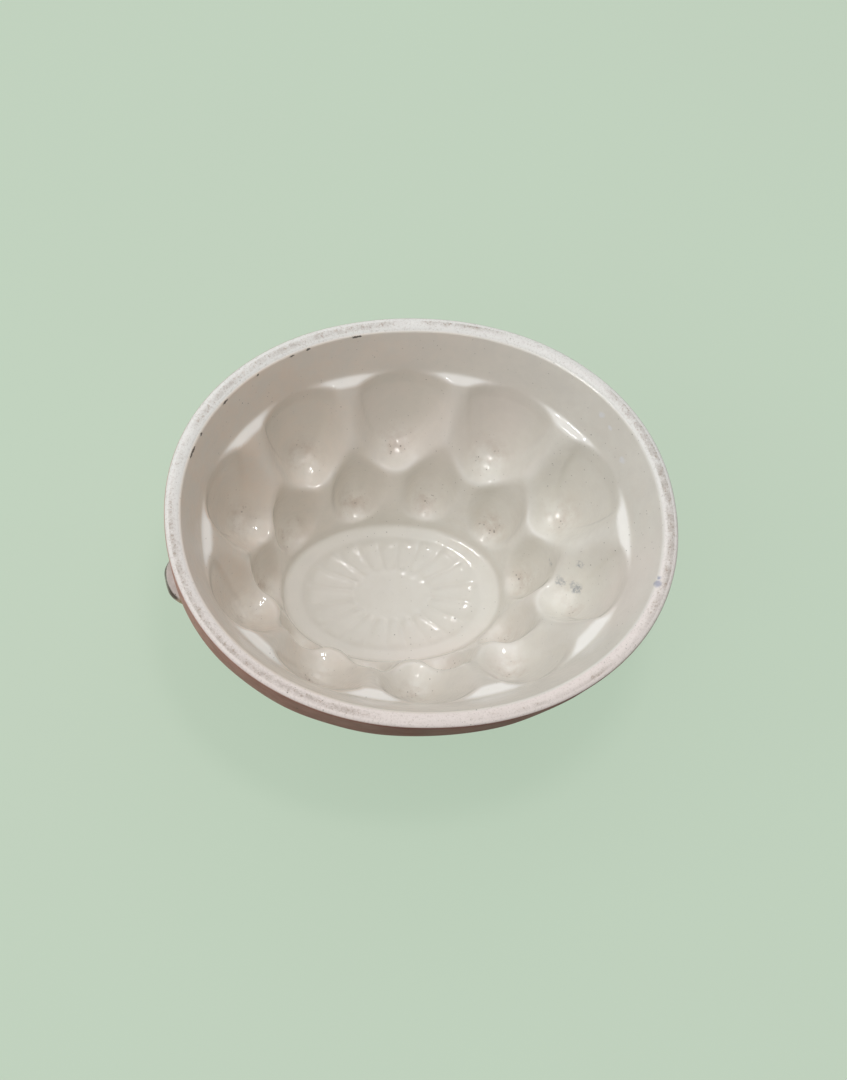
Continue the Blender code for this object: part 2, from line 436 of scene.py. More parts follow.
def inside_surface():
    """Rows of points from the rim's inner edge to the middle of the medallion.

    Each row is measured at many plan places first, then parted evenly along its own length.
    """
    samples = 1400
    floor_start = 0.62
    hair = 0.01 * mm
    angles = full_turn(angle_steps)
    part = np.linspace(0, 1, samples)
    inset = rim_wall + (floor_inset - rim_wall) * np.clip(part / floor_start, 0, 1)
    shrink = np.clip((1 - part) / (1 - floor_start), 0, 1)
    a = (half_length - inset) * shrink
    b = (half_width - inset) * shrink
    x, y = oval(a[None, :], b[None, :], angles[:, None])
    wall = np.broadcast_to(wall_depth(inset), x.shape)
    depth = np.maximum.reduce((wall, niche_depth(x, y), pocket_depth(x, y)))
    depth = np.where(depth >= floor_drop - hair, medallion_depth(x, y), depth)
    step = np.sqrt(np.diff(x) ** 2 + np.diff(y) ** 2 + np.diff(depth) ** 2)
    along = np.concatenate((np.zeros((angle_steps, 1)), np.cumsum(step, axis=1)), axis=1)
    points = np.empty((angle_steps, inside_steps, 3))
    for j in range(angle_steps):
        wanted = np.linspace(0, along[j, -1], inside_steps)
        points[j, :, 0] = np.interp(wanted, along[j], x[j])
        points[j, :, 1] = np.interp(wanted, along[j], y[j])
        points[j, :, 2] = height - np.interp(wanted, along[j], depth[j])
    return points


def outline_rows():
    """Rows of the outside, from the middle of the underside up and over the rim.

    Each is an inset from the rim's outer edge, a level, a share of the way out from the
    middle, how much of the flutes' swell it shows and 1 where it lies on the rim's top.
    """
    base_top = underside + base_round
    band_foot = height - band_height
    shoulder_level = band_foot - shoulder_height
    rows = []

    # Underside
    for part in np.linspace(0.04, 1, 6):
        rows.append((base_inset + base_round, underside, part, 0, 0))

    # Lower wall, which bellies out
    for part in np.linspace(0, 1, 28):
        arch = math.sin(math.pi * part)
        inset = base_inset + (shoulder_inset - base_inset) * part - belly * arch
        rows.append((inset, base_top + (shoulder_level - base_top) * part, 1, arch, 0))

    # Shoulder and plain band
    for part in np.linspace(0.25, 1, 4):
        inset = shoulder_inset + (band_inset - shoulder_inset) * part
        rows.append((inset, shoulder_level + shoulder_height * part, 1, 0, 0))
    for part in np.linspace(0.06, 1, 12):
        level = band_foot + (band_height - rim_round) * part
        rows.append((band_inset * (1 - part), level, 1, 0, 0))

    # Rim: its outer rounding, crowned top and inner rounding
    for degrees in np.linspace(22, 90, 4):
        lift = rim_round * math.sin(math.radians(degrees))
        side = rim_round * (1 - math.cos(math.radians(degrees)))
        rows.append((side, height - rim_crown - rim_round + lift, 1, 0, 0))
    for part in np.linspace(0.125, 1, 8):
        inset = rim_round + (rim_wall - 2 * rim_round) * part
        crown = rim_crown * (2 * part - 1) ** 2
        rows.append((inset, height - crown, 1, 0, 1))
    for degrees in (20, 40, 60):
        lift = rim_round * math.cos(math.radians(degrees))
        side = rim_round * math.sin(math.radians(degrees))
        rows.append((rim_wall - rim_round + side, height - rim_crown - rim_round + lift, 1, 0, 0))
    return rows


def outside_surface():
    """Those rows all round the body, with the shares of wear and of rim crest at each point."""
    angles = full_turn(angle_steps)
    ribs = np.append(equal_arcs(*ledge_oval, niche_count), 2 * math.pi)
    phase = np.interp(angles, ribs, np.arange(niche_count + 1))
    wave = 0.5 - 0.5 * np.cos(2 * math.pi * phase)
    rows = outline_rows()
    points = np.empty((angle_steps, len(rows), 3))
    worn = np.empty((angle_steps, len(rows)))
    crest = np.empty((angle_steps, len(rows)))
    wander = np.sin(3 * angles + 1) + np.sin(8 * angles) / 2
    worn_line = worn_line_inset + worn_line_wander * wander
    widening = worn_side_widening * np.clip(np.cos(angles - worn_side), 0, 1) ** 4
    worn_width = worn_line_width * (1 + widening)
    crest_start = height - rim_crown - 0.8 * rim_round
    for k, (inset, level, part, arch, on_top) in enumerate(rows):
        x, y = oval((half_length - inset) * part, (half_width - inset) * part, angles)
        grow = 1 + swell * wave * arch / np.hypot(x, y)
        points[:, k, 0] = x * grow
        points[:, k, 1] = y * grow
        points[:, k, 2] = level
        worn[:, k] = on_top * np.exp(-((inset - worn_line) / worn_width) ** 2)
        crest[:, k] = np.clip((level - crest_start) / (rim_round / 2), 0, 1)
    return points, worn, crest


def smooth_rows(points, rounds, strength):
    """Ease every edge by averaging each point with its neighbours, round after round."""
    for _ in range(rounds):
        mean = (np.roll(points, 1, 0) + np.roll(points, -1, 0)) / 4
        mean[:, 1:-1] += (points[:, :-2] + points[:, 2:]) / 4
        change = (mean - points) * strength[..., None]
        change[:, 0] = 0
        change[:, -1] = 0
        points = points + change
    return points


def row_normals(points):
    around = np.roll(points, -1, 0) - np.roll(points, 1, 0)
    across = np.gradient(points, axis=1)
    normals = np.cross(around, across)
    return normals / np.maximum(np.linalg.norm(normals, axis=-1, keepdims=True), 1e-12)


def wobble(points):
    """Slow unevenness of hand-pressed clay, as a few seeded waves."""
    usual_sum = 3.5
    rng = np.random.default_rng(clay_wave_seed)
    shift = np.zeros(points.shape[:-1])
    for _ in range(clay_waves):
        way = rng.normal(size=3)
        way *= 2 * math.pi / (clay_wave_length * rng.uniform(0.7, 1.6) * np.linalg.norm(way))
        shift += np.sin(points @ way + rng.uniform(0, 2 * math.pi))
    return shift * clay_wave_height / usual_sum


def grid_mesh(name, points, attributes, joined=False):
    """Mesh of a grid of points that closes on itself the first way.

    The second way it closes too if joined, and otherwise a fan of faces fills each end.
    """
    turns, steps = points.shape[:2]
    index = np.arange(turns * steps).reshape(turns, steps)
    after = np.roll(index, -1, 0)
    if joined:
        near, far = index, np.roll(index, -1, 1)
        near_after, far_after = after, np.roll(after, -1, 1)
    else:
        near, far = index[:, :-1], index[:, 1:]
        near_after, far_after = after[:, :-1], after[:, 1:]
    faces = np.stack((near, near_after, far_after, far), -1).reshape(-1, 4).tolist()
    verts = points.reshape(-1, 3)
    if not joined:
        first = len(verts)
        verts = np.vstack((verts, points[:, 0].mean(0), points[:, -1].mean(0)))
        faces += [(first, after[j, 0], index[j, 0]) for j in range(turns)]
        faces += [(first + 1, index[j, -1], after[j, -1]) for j in range(turns)]
    mesh = bpy.data.meshes.new(name)
    mesh.from_pydata(verts.tolist(), [], faces)
    mesh.update()
    mesh.shade_smooth()
    for label, values in attributes.items():
        full = values.reshape(-1)
        if not joined:
            full = np.append(full, (values[:, 0].mean(), values[:, -1].mean()))
        layer = mesh.attributes.new(label, "FLOAT", "POINT")
        layer.data.foreach_set("value", full.astype(np.float32))
    piece = bpy.data.objects.new(name, mesh)
    bpy.context.scene.collection.objects.link(piece)
    return piece


def chipped(grid, lip):
    """How deep each point lies in a chip of the rim's inner edge, which is the row lip."""
    share = np.zeros(grid.shape[:2])
    for angle, length in rim_chips:
        place = round(angle / 360 * angle_steps)
        centre = grid[place, lip]
        along = grid[place + 1, lip] - grid[place - 1, lip]
        along = along / np.linalg.norm(along)
        away = grid - centre
        run = away @ along
        across = np.linalg.norm(away - run[..., None] * along, axis=-1)
        here = np.exp(-((2 * run / (length * mm)) ** 4) - (across / chip_width) ** 2)
        share = np.maximum(share, here)
    return share


def body_softness(level, within, rim_end):
    """How far each point of the body moves to its neighbours' mean, by where it lies."""
    strength = np.where(within, wall_softness, outside_softness)
    strength[:, rim_end - rim_rows - 3:rim_end + 4] = rim_softness
    on_ledge = within & (np.abs(level - ledge_level) < 0.7 * mm)
    strength = np.where(on_ledge, ledge_softness, strength)
    return np.where(within & (level < floor_level + 2 * mm), medallion_softness, strength)


def soften(grid, within, rim_end):
    """The body with its edges eased, its flutes stepped and its clay a little uneven."""
    level = grid[..., 2]
    grid = smooth_rows(grid, smooth_rounds, body_softness(level, within, rim_end))

    # The ribs and flutes are eased again, well above the floor and below the ledges
    off_floor = (level - floor_level - 10 * mm) / (10 * mm)
    off_ledge = (ledge_level - 3 * mm - level) / (5 * mm)
    on_wall = within * np.clip(np.minimum(off_floor, off_ledge), 0, 1)
    grid = smooth_rows(grid, wall_rounds, on_wall * wall_softness)

    step = inner_step(grid) * within * step_depth
    grid = grid - row_normals(grid) * step[..., None]
    grid = smooth_rows(grid, step_rounds, within * wall_softness * (step > 0))

    # The rim is the least uneven
    off_rim = np.clip((height - 2 * mm - grid[..., 2]) / (15 * mm), 0.25, 1)
    return grid + row_normals(grid) * (wobble(grid) * off_rim)[..., None]


def hollowness(grid, normals):
    """How far each point lies below the broad form round it, in half millimetres."""
    broad = smooth_rows(grid, 30, np.full(grid.shape[:2], 0.9))
    return ((broad - grid) * normals).sum(-1) / (0.5 * mm)


def stained(grid):
    """1 at a stain's middle, falling off round it."""
    nearest = np.full(grid.shape[:2], np.inf)
    for tip in stain_places():
        nearest = np.minimum(nearest, np.linalg.norm(grid - tip, axis=-1))
    return np.exp(-(nearest / stain_reach) ** 2)


def body_piece():
    inside = inside_surface()[:, 1:]
    outside, worn, crest = outside_surface()
    first_grid = np.concatenate((outside, inside), axis=1)
    rim_end = outside.shape[1]
    steps = np.arange(first_grid.shape[1])
    within = np.broadcast_to(steps >= rim_end, first_grid.shape[:2])
    grid = soften(first_grid, within, rim_end)
    normals = row_normals(grid)

    # Ledges are told by their level before softening, and by how flat they lie; the glaze paints
    # them whiter, as painted light
    flat = np.clip((np.abs(normals[..., 2]) - 0.8) / 0.15, 0, 1)
    ledge = np.exp(-((first_grid[..., 2] - ledge_level) / (0.6 * mm)) ** 4) * flat
    no_rim = np.zeros(inside.shape[:2])
    attributes = {
        "worn": np.concatenate((worn, no_rim), axis=1),
        "crest": np.concatenate((crest, no_rim), axis=1),
        "stain": stained(grid) * within,
        "hollow": np.clip(hollowness(grid, normals), -1, 1) * within,
        "ledge": ledge * within,
        "chipped": chipped(grid, rim_end + 1),
        "outside": np.broadcast_to(np.where(steps <= rim_end - rim_rows, 1.0, 0.0), grid.shape[:2]),
    }
    piece = grid_mesh("glazed_mould", grid, attributes)

    # The second glaze covers the outside below the rim, with the fan under it
    outer = np.tile(steps[:-1] < rim_end - rim_rows, angle_steps)
    fans = np.repeat((True, False), angle_steps)
    piece.data.materials.append(body_glaze())
    piece.data.materials.append(outside_glaze())
    piece.data.polygons.foreach_set("material_index", np.append(outer, fans).astype(np.int32))
    return piece


def quarter_round(size, degrees):
    """How far in and how far up a point of a rounded lower edge lies."""
    turn = math.radians(degrees)
    return size * (1 - math.cos(turn)), size * (1 - math.sin(turn))


def foot_piece():
    """Foot ring with a rounded, unglazed standing edge, luted to the underside."""
    turns = 240
    joint = 0.7 * mm
    joint_start = underside - 0.2 * mm
    edge_round = 1.4 * mm
    outer = base_inset + base_round
    inner = outer + foot_wall
    lower_outer = outer + foot_taper
    section = [(outer - joint / 2, underside + joint)]
    for level in np.linspace(joint_start, 2 * edge_round, 5):
        part = level / underside
        section.append((lower_outer + (outer - lower_outer) * part, level))
    for degrees in np.linspace(0, 90, 5):
        side, level = quarter_round(edge_round, degrees)
        section.append((lower_outer + side, level))
    for degrees in np.linspace(90, 0, 5):
        side, level = quarter_round(edge_round, degrees)
        section.append((inner - side, level))
    for level in np.linspace(2 * edge_round, joint_start, 4):
        section.append((inner, level))
    section.append((inner + joint / 2, underside + joint))
    angles = full_turn(turns)
    grid = np.empty((turns, len(section), 3))
    for k, (inset, level) in enumerate(section):
        grid[:, k, 0], grid[:, k, 1] = oval(half_length - inset, half_width - inset, angles)
        grid[:, k, 2] = ground + level
    bare = np.clip((ground + 1.8 * mm - grid[..., 2]) / (1.2 * mm), 0, 1)
    piece = grid_mesh("glazed_foot", grid, {"bare": bare}, joined=True)
    piece.data.materials.append(foot_glaze())
    return piece


def lug_piece():
    """Pressed lug, a flat lens in shape with a slight roll round its face, let into the band."""
    turns = 72
    steps = 26
    root = 2 * mm

    # As shares of the lug's half size
    roll_radius = 0.55
    roll_width = 0.3
    stripe_level = 0.16
    stripe_width = 0.32
    under_level = 0.1

    place, along, inward = inward_axes(lug_angle, band_inset)
    angles = full_turn(turns)
    grid = np.empty((turns, steps, 3))
    end = np.empty((turns, steps))
    outermost = np.empty((turns, steps))
    under = np.empty((turns, steps))
    for k, part in enumerate(np.linspace(1, 0.03, steps)):
        radius = part ** 0.6
        roll = math.exp(-((radius - roll_radius) / roll_width) ** 2)
        swelling = (1 - radius ** 2) ** 0.7 * (0.86 + 0.1 * roll)
        side = radius * np.cos(angles)
        level = radius * np.sin(angles)
        reach = (lug_reach + root) * swelling - root
        grid[:, k, 0] = place[0] + along[0] * lug_width / 2 * side - inward[0] * reach
        grid[:, k, 1] = place[1] + along[1] * lug_width / 2 * side - inward[1] * reach
        grid[:, k, 2] = height - lug_drop + lug_height / 2 * level
        end[:, k] = np.abs(side)
        stripe = np.exp(-((level - stripe_level) / stripe_width) ** 2)
        outermost[:, k] = stripe * (1 - end[:, k] ** 4)
        under[:, k] = np.clip((under_level - level) / (2 * under_level), 0, 1)
    grid = smooth_rows(grid, lug_rounds, np.full(grid.shape[:2], wall_softness))
    piece = grid_mesh("glazed_lug", grid, {"end": end, "outermost": outermost, "under": under})
    piece.data.materials.append(lug_glaze())
    return piece


def add(tree, kind, inputs=None, **settings):
    """New node with its settings and inputs, where an input is a value or another socket."""
    node = tree.nodes.new(kind)
    for key, value in settings.items():
        setattr(node, key, value)
    for label, value in (inputs or {}).items():
        if isinstance(value, bpy.types.NodeSocket):
            tree.links.new(value, node.inputs[label])
        else:
            node.inputs[label].default_value = value
    return node


def math_node(tree, operation, first, second):
    return add(tree, "ShaderNodeMath", {0: first, 1: second}, operation=operation).outputs[0]


def plus(tree, first, second):
    return math_node(tree, "ADD", first, second)


def times(tree, first, second):
    return math_node(tree, "MULTIPLY", first, second)


def larger(tree, first, second):
    return math_node(tree, "MAXIMUM", first, second)


def between(tree, value, low, high, to_low=0.0, to_high=1.0):
    """Value mapped from one range to another and held inside it."""
    inputs = {"Value": value, "From Min": low, "From Max": high, "To Min": to_low, "To Max": to_high}
    return add(tree, "ShaderNodeMapRange", inputs).outputs[0]


def noise(tree, place, scale, detail=4.0, rough=0.55):
    inputs = {"Vector": place, "Scale": scale, "Detail": detail, "Roughness": rough}
    return add(tree, "ShaderNodeTexNoise", inputs).outputs["Fac"]


def attribute(tree, name):
    return add(tree, "ShaderNodeAttribute", attribute_name=name).outputs["Fac"]


def blend(tree, share, first, second):
    """Colour between two colours by a share."""
    node = add(tree, "ShaderNodeMix", data_type="RGBA")
    for place, value in ((0, share), (6, first), (7, second)):
        if isinstance(value, bpy.types.NodeSocket):
            tree.links.new(value, node.inputs[place])
        else:
            node.inputs[place].default_value = value if place == 0 else (*value, 1)
    return node.outputs[2]


def object_place(tree):
    return add(tree, "ShaderNodeTexCoord").outputs["Object"]


def along_way(tree, place, way):
    """How far a place lies along a direction."""
    node = add(tree, "ShaderNodeVectorMath", {0: place, 1: way}, operation="DOT_PRODUCT")
    return node.outputs["Value"]


def ragged_place(tree, place, size, scale):
    """Object place pushed about by noise, so that marks get ragged edges."""
    shove = add(tree, "ShaderNodeTexNoise", {"Vector": place, "Scale": scale, "Detail": 3.0})
    inputs = {0: shove.outputs["Color"], 1: (0.5, 0.5, 0.5)}
    centred = add(tree, "ShaderNodeVectorMath", inputs, operation="SUBTRACT").outputs[0]
    inputs = {0: centred, "Scale": size}
    scaled = add(tree, "ShaderNodeVectorMath", inputs, operation="SCALE").outputs[0]
    inputs = {0: place, 1: scaled}
    return add(tree, "ShaderNodeVectorMath", inputs, operation="ADD").outputs[0]


def marks(tree, place, centres):
    """1 in the middle of each mark, falling to 0 at its reach. Centres are (x, y, z, reach)."""
    nearest = None
    for x, y, z, reach in centres:
        centre = (x * mm, y * mm, z * mm)
        distance = add(tree, "ShaderNodeVectorMath", {0: place, 1: centre}, operation="DISTANCE")
        share = math_node(tree, "DIVIDE", distance.outputs["Value"], reach * mm)
        nearest = share if nearest is None else math_node(tree, "MINIMUM", nearest, share)
    return between(tree, nearest, 0.4, 1.0, 1.0, 0.0)


def specks(tree, place, scale, size, rarity):
    """Small round specks, one in some cells of a cell pattern."""
    cells = add(tree, "ShaderNodeTexVoronoi", {"Vector": place, "Scale": scale})
    dot = between(tree, cells.outputs["Distance"], size, size * 1.6, 1.0, 0.0)
    chosen = add(tree, "ShaderNodeSeparateColor", {"Color": cells.outputs["Color"]}).outputs[0]
    chosen = between(tree, chosen, rarity, rarity + 0.01)
    return math_node(tree, "MULTIPLY", dot, chosen)


def new_material(name):
    material = bpy.data.materials.new(name)
    material.use_nodes = True
    return material, material.node_tree, material.node_tree.nodes["Principled BSDF"]


def coat(shader, weight=0.9, specular=0.15, rough=0.06):
    """Clear gloss over a glaze."""
    shader.inputs["IOR"].default_value = 1.5
    shader.inputs["Specular IOR Level"].default_value = specular
    shader.inputs["Coat Weight"].default_value = weight
    shader.inputs["Coat Roughness"].default_value = rough


def bump(tree, shader, heights, distance, layer="Normal"):
    node = add(tree, "ShaderNodeBump", {"Height": heights, "Strength": 1.0, "Distance": distance})
    tree.links.new(node.outputs[0], shader.inputs[layer])


def fine_mottle(tree, place, most):
    return between(tree, noise(tree, place, 160, 5, 0.65), 0.42, 0.7, 0.0, most)


def outside_colour_and_painted_shade(tree, place):
    """Pinkish buff, partly a painted reddish bounce of light, that darkens to maroon round one side
    as painted shade, with slow streaks.
    """
    darker = between(tree, along_way(tree, place, painted_shade_way), -30 * mm, 55 * mm, 0.186, 0.807)
    streaky = between(tree, noise(tree, place, 40, 5, 0.55), 0.3, 0.7, -0.07, 0.07)
    return blend(tree, plus(tree, darker, streaky), lit_side_buff, shaded_side_maroon)


def outside_glaze():
    material, tree, shader = new_material("outside glaze")
    place = object_place(tree)
    coat(shader, weight=0.04, specular=0.03, rough=0.15)
    # Its colour carries painted shade, darkening to maroon on one side
    colour = outside_colour_and_painted_shade(tree, place)
    colour = blend(tree, fine_mottle(tree, place, 0.25), colour, shaded_side_maroon)
    colour = blend(tree, specks(tree, place, 260, 0.08, 0.75), colour, iron_colour)
    tree.links.new(colour, shader.inputs["Base Color"])
    rough = between(tree, noise(tree, place, 60, 4), 0.3, 0.7, 0.4, 0.55)
    tree.links.new(rough, shader.inputs["Roughness"])
    bump(tree, shader, noise(tree, place, 90, 3), 0.1 * mm)
    return material


def plain_glaze(tree, place, apart):
    """White glaze, greyer where it pools and on the floor, tinted by painted warm and yellow light.
    """
    broad = between(tree, noise(tree, place, 28, 3), 0.35, 0.68)
    colour = blend(tree, broad, white_glaze, cool_glaze)
    # Painted light: warmer towards -X and upwards as a painted warm bounce, yellower towards +X as a
    # painted tint of the light there
    warmth = between(tree, along_way(tree, place, painted_warm_light_way), 0.0, 1.0)
    colour = blend(tree, warmth, colour, warm_lit_glaze)
    yellow = between(tree, apart["X"], 10 * mm, 60 * mm, 0.0, 0.5)
    colour = blend(tree, yellow, colour, yellow_lit_glaze)
    colour = blend(tree, fine_mottle(tree, place, 0.35), colour, cream_glaze)
    cloudy = between(tree, noise(tree, place, 75, 6, 0.7), 0.4, 0.62, 0.0, 0.4)
    colour = blend(tree, cloudy, colour, clouded_glaze)
    pooled = between(tree, attribute(tree, "hollow"), 0.15, 1.0, 0.0, 0.2)
    colour = blend(tree, pooled, colour, pooled_glaze)
    bottom = between(tree, apart["Z"], floor_level + 6 * mm, floor_level, 0.0, 0.45)
    return blend(tree, bottom, colour, clouded_glaze)


def rim_and_ledges(tree, place, apart, colour, crest, outside):
    """Pinkish patches, ledges and rim top painted whiter and the near side painted pinker as painted
    light, and the outside's glaze just under the rim.
    """
    pink = between(tree, noise(tree, place, 11, 2), 0.5, 0.62, 0.0, 0.3)
    colour = blend(tree, pink, colour, pink_glaze)
    # Painted light: ledges facing up are painted whiter, as if lit
    colour = blend(tree, times(tree, attribute(tree, "ledge"), 0.6), colour, lit_top_white)
    colour = blend(tree, outside, colour, outside_colour_and_painted_shade(tree, place))
    # Painted light: the rim is pinker on the near side as a painted reddish bounce, and its top
    # whiter as if lit
    near_side_painted_bounce = between(tree, apart["Y"], 20 * mm, -60 * mm, 0.0, 0.8)
    rim = blend(tree, larger(tree, pink, near_side_painted_bounce), lit_top_white, pink_glaze)
    return blend(tree, crest, colour, rim)


def stains(tree, place, colour):
    """Old stains in the bottoms of the flutes and pockets. Gives the colour and their share."""
    blotch = between(tree, noise(tree, place, 95, 5, 0.7), 0.42, 0.66)
    stain = times(tree, attribute(tree, "stain"), blotch)
    colour = blend(tree, times(tree, stain, 0.5), colour, stain_colour)
    gathered = between(tree, stain, 0.25, 0.6, 0.0, 0.6)
    grains = times(tree, specks(tree, place, 700, 0.2, 0.55), gathered)
    return blend(tree, grains, colour, iron_colour), stain


def strewn_specks(tree, place, colour):
    """Iron specks over the whole glaze, more of them in some places."""
    here = between(tree, noise(tree, place, 30, 3), 0.42, 0.62, 0.1, 1.0)
    for scale, size, rarity, share in speck_kinds:
        strewn = times(tree, specks(tree, place, scale, size, rarity), share)
        colour = blend(tree, times(tree, strewn, here), colour, iron_colour)
    return colour


def worn_rim(tree, place, apart, colour, crest):
    """Worn and dirty line along the top of the rim. Gives the colour and the wear's share."""
    grain = between(tree, noise(tree, place, 1300, 3, 0.7), 0.52, 0.66, 0.0, 0.3)
    colour = blend(tree, times(tree, grain, crest), colour, worn_colour)
    patchy = between(tree, noise(tree, place, 230, 8, 0.85), 0.38, 0.6)
    long_patch = between(tree, noise(tree, place, 24, 2), 0.42, 0.58, 0.12, 1.0)
    far_end = between(tree, apart["X"], 70 * mm, 88 * mm)
    worn = times(tree, attribute(tree, "worn"), patchy)
    worn = times(tree, worn, larger(tree, long_patch, far_end))
    colour = blend(tree, times(tree, worn, 0.62), colour, worn_colour)
    grit = between(tree, noise(tree, place, 1100, 3, 0.6), 0.56, 0.66)
    grit = times(tree, grit, between(tree, worn, 0.02, 0.4, 0.0, 0.6))
    return blend(tree, grit, colour, stain_colour), worn


def marks_of_use(tree, place, colour):
    """Chips, smudges, pale painted highlights and a blue dot. Gives the colour and the chips' share.
    """
    broken = between(tree, noise(tree, place, 800, 3, 0.7), 0.3, 0.7, -0.35, 0.35)
    chips = between(tree, plus(tree, attribute(tree, "chipped"), broken), 0.4, 0.62)
    colour = blend(tree, times(tree, chips, 0.85), colour, chip_colour)
    streaks = between(tree, noise(tree, place, 500, 4, 0.7), 0.4, 0.62)
    smeared = ragged_place(tree, place, 5 * mm, 300)
    smudge = times(tree, marks(tree, smeared, smudges), streaks)
    colour = blend(tree, times(tree, smudge, 0.85), colour, smudge_colour)
    # Painted highlights: small pale bluish reflections on the band's right side
    ragged = ragged_place(tree, place, 2 * mm, 420)
    painted_glint = marks(tree, ragged, painted_glint_marks)
    colour = blend(tree, times(tree, painted_glint, 0.6), colour, painted_glint_colour)
    dot = marks(tree, ragged, blue_dots)
    return blend(tree, times(tree, dot, 0.55), colour, blue_colour), chips


def body_gloss(tree, shader, place, apart, dull, thin):
    rough = between(tree, noise(tree, place, 60, 4), 0.3, 0.7, 0.34, 0.5)
    rough = plus(tree, rough, times(tree, dull, 0.25))
    tree.links.new(rough, shader.inputs["Roughness"])

    # The medallion's gloss is thin too, but for one side
    far_side = between(tree, along_way(tree, place, glossy_way), 12 * mm, 26 * mm, 0.65, 0.0)
    low_down = between(tree, apart["Z"], floor_level + 4 * mm, floor_level + 2 * mm)
    thin = larger(tree, thin, times(tree, far_side, low_down))
    tree.links.new(between(tree, thin, 0.0, 1.0, 0.75, 0.04), shader.inputs["Coat Weight"])

    # The gloss ripples, which breaks its highlights into small squiggles
    ripple = between(tree, attribute(tree, "stain"), 0.0, 0.6, 1.0, 2.5)
    ripple = times(tree, noise(tree, place, 400, 2), ripple)
    bump(tree, shader, ripple, 0.11 * mm, "Coat Normal")


def body_glaze():
    material, tree, shader = new_material("body glaze")
    place = object_place(tree)
    coat(shader)
    apart = add(tree, "ShaderNodeSeparateXYZ", {"Vector": place}).outputs
    crest = attribute(tree, "crest")
    outside = attribute(tree, "outside")
    colour = plain_glaze(tree, place, apart)
    colour = rim_and_ledges(tree, place, apart, colour, crest, outside)
    colour, stain = stains(tree, place, colour)
    colour = strewn_specks(tree, place, colour)
    colour, worn = worn_rim(tree, place, apart, colour, crest)
    colour, chips = marks_of_use(tree, place, colour)
    tree.links.new(colour, shader.inputs["Base Color"])

    # Duller where it is worn, chipped, stained or on the rim, thinner on the rim and the outside
    bare = larger(tree, worn, chips)
    dull = larger(tree, larger(tree, bare, stain), crest)
    thin = larger(tree, larger(tree, crest, outside), bare)
    body_gloss(tree, shader, place, apart, dull, thin)

    # Soft unevenness of the glaze, with pits where it is worn or chipped
    peel = times(tree, noise(tree, place, 210, 3), 0.35)
    heights = plus(tree, peel, noise(tree, place, 70, 2))
    heights = plus(tree, heights, times(tree, bare, -1.2))
    bump(tree, shader, heights, 0.1 * mm)
    return material


def foot_glaze():
    material, tree, shader = new_material("foot glaze")
    place = object_place(tree)
    coat(shader)
    # The glazed part takes the outside's colour, with its painted shade
    colour = blend(tree, fine_mottle(tree, place, 0.25), outside_colour_and_painted_shade(tree, place), shaded_side_maroon)
    uneven = between(tree, noise(tree, place, 130, 5), 0.3, 0.7, -0.3, 0.3)
    bare = between(tree, plus(tree, attribute(tree, "bare"), uneven), 0.35, 0.6)
    grain = between(tree, noise(tree, place, 900, 4, 0.7), 0.4, 0.65)
    colour = blend(tree, bare, colour, blend(tree, grain, bare_clay, dirty_clay))
    colour = blend(tree, specks(tree, place, 260, 0.09, 0.7), colour, iron_colour)
    tree.links.new(colour, shader.inputs["Base Color"])
    tree.links.new(between(tree, bare, 0.0, 1.0, 0.25, 0.8), shader.inputs["Roughness"])
    bump(tree, shader, times(tree, noise(tree, place, 700, 4, 0.7), bare), 0.2 * mm)
    return material


def lug_glaze():
    """Pinkish glaze with a painted dark edge and painted ochre reflections at its ends; the
    outside's glaze, with its painted shade, on its lower half.
    """
    material, tree, shader = new_material("lug glaze")
    place = object_place(tree)
    coat(shader, weight=0.2)
    patch = between(tree, noise(tree, place, 220, 4, 0.6), 0.35, 0.65)
    colour = blend(tree, patch, lug_face, pink_glaze)
    colour = blend(tree, attribute(tree, "under"), colour, outside_colour_and_painted_shade(tree, place))
    uneven = between(tree, noise(tree, place, 300, 4), 0.3, 0.7, -0.06, 0.06)
    # Painted shade and dark reflection along the lug's outermost band
    edge = plus(tree, attribute(tree, "outermost"), uneven)
    colour = blend(tree, between(tree, edge, 0.45, 0.7, 0.0, 0.95), colour, dark_edge_painted_shade)
    # Painted reflection: ochre ends, as if mirroring warm wood
    ends = plus(tree, attribute(tree, "end"), uneven)
    colour = blend(tree, between(tree, ends, 0.72, 0.86, 0.0, 0.85), colour, ochre_painted_reflection)
    colour = blend(tree, specks(tree, place, 300, 0.09, 0.7), colour, iron_colour)
    tree.links.new(colour, shader.inputs["Base Color"])
    rough = between(tree, noise(tree, place, 150, 4), 0.3, 0.7, 0.16, 0.35)
    tree.links.new(rough, shader.inputs["Roughness"])
    bump(tree, shader, noise(tree, place, 300, 3), 0.12 * mm)
    return material


def dress(piece, node):
    """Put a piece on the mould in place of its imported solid."""
    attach(piece, "root")
    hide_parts(node)


dress(body_piece(), "mould_body")
dress(foot_piece(), "foot_ring")
dress(lug_piece(), "side_lug")


